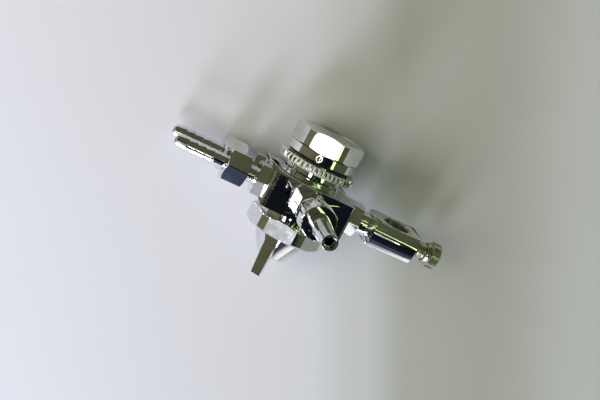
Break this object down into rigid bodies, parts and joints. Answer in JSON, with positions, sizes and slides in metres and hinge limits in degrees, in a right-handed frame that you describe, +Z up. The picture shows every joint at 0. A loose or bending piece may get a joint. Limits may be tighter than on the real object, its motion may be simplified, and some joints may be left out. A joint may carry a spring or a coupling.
{
  "type": "air-operated needle spray valve",
  "caption": "Chrome-plated automatic spray valve: block body, hex adjusting cap, air cap with horn, hose fittings and rod holder with clamp screw.",
  "frame": {"origin": "bottom centre of the bounding box, with the valve lying on its back", "axes": "+X from the two hose barbs towards the rod holder, +Y along the needle axis towards the adjusting cap, +Z up, out of the front face"},
  "size_m": [0.1336, 0.0706, 0.0913],
  "materials": {
    "chrome_body": "polished chrome plate",
    "chrome_turned": "polished chrome plate over turned brass",
    "chrome_frosted": "chrome plate with fine scratches on the flats",
    "chrome_fittings": "polished chrome plate",
    "chrome_holder": "polished chrome plate",
    "nickel": "satin nickel plate",
    "stainless": "ground stainless steel",
    "brass": "turned brass",
    "rubber": "matt black rubber",
    "ptfe": "white PTFE"
  },
  "bodies": {
    "valve_body": {"body_block": "chrome_body", "fluid_nozzle": "stainless", "needle_packing": "ptfe", "packing_gland": "brass", "cap_seal": "rubber", "left_front_adapter": "chrome_fittings", "left_front_hose_barb": "chrome_fittings", "left_rear_adapter": "chrome_fittings", "left_rear_hose_barb": "chrome_fittings", "front_adapter": "chrome_fittings", "front_spigot": "chrome_fittings", "rod_holder": "chrome_holder"},
    "needle_set": {"needle": "stainless", "piston": "brass", "piston_seal": "rubber", "piston_nut": "stainless", "piston_spring": "stainless"},
    "stroke_stop": {"spring_seat": "brass"},
    "cap": {"adjusting_cap": "chrome_turned"},
    "ring": {"lock_ring": "chrome_turned"},
    "nut": {"retaining_nut": "chrome_frosted"},
    "spray_cap": {"air_cap": "chrome_turned"},
    "left_front_union": {"left_front_union_nut": "chrome_fittings"},
    "left_rear_union": {"left_rear_union_nut": "chrome_fittings"},
    "front_union": {"front_union_nut": "chrome_fittings"},
    "screw": {"clamp_screw": "nickel"},
    "knob": {"clamp_knob": "nickel"}
  },
  "joints": [
    {"name": "needle_lift", "type": "slide", "parent": "valve_body", "child": "needle_set", "axis": [0, 1, 0], "range_m": [0, 0.003], "stiffness_N_per_m": 3000, "springref_m": -0.006, "deforming": ["piston_spring"]},
    {"name": "stroke_advance", "type": "slide", "parent": "valve_body", "child": "stroke_stop", "axis": [0, 1, 0], "range_m": [0, 0.002]},
    {"name": "cap_turn", "type": "hinge", "parent": "stroke_stop", "child": "cap", "pos_m": [-0.00375, 0.03, 0.0182], "axis": [0, 1, 0], "range_deg": [0, 720.5]},
    {"name": "lock_ring_turn", "type": "hinge", "parent": "valve_body", "child": "ring", "pos_m": [-0.00375, 0.0194, 0.0182], "axis": [0, 1, 0], "continuous": true},
    {"name": "retaining_nut_turn", "type": "hinge", "parent": "valve_body", "child": "nut", "pos_m": [-0.00375, -0.0116, 0.0182], "axis": [0, 1, 0], "continuous": true},
    {"name": "air_cap_turn", "type": "hinge", "parent": "valve_body", "child": "spray_cap", "pos_m": [-0.00375, -0.02, 0.0182], "axis": [0, 1, 0], "continuous": true},
    {"name": "left_front_union_turn", "type": "hinge", "parent": "valve_body", "child": "left_front_union", "pos_m": [-0.03775, 0.005, 0.0284], "axis": [-1, 0, 0], "continuous": true},
    {"name": "left_rear_union_turn", "type": "hinge", "parent": "valve_body", "child": "left_rear_union", "pos_m": [-0.03775, 0.005, 0.008], "axis": [-1, 0, 0], "continuous": true},
    {"name": "front_union_turn", "type": "hinge", "parent": "valve_body", "child": "front_union", "pos_m": [-0.00375, 0.005, 0.059], "axis": [0, 0, 1], "continuous": true},
    {"name": "clamp_advance", "type": "slide", "parent": "valve_body", "child": "screw", "axis": [1, 0, 0], "range_m": [-0.004, 0.002]},
    {"name": "clamp_turn", "type": "hinge", "parent": "screw", "child": "knob", "pos_m": [0.062, 0.005, 0.021], "axis": [1, 0, 0], "range_deg": [-1440.5, 720.5]}
  ],
  "couplings": [
    {"joint": "cap_turn", "follows": "stroke_advance", "rad_per_m": 6283.2},
    {"joint": "clamp_turn", "follows": "clamp_advance", "rad_per_m": 6283.2}
  ]
}
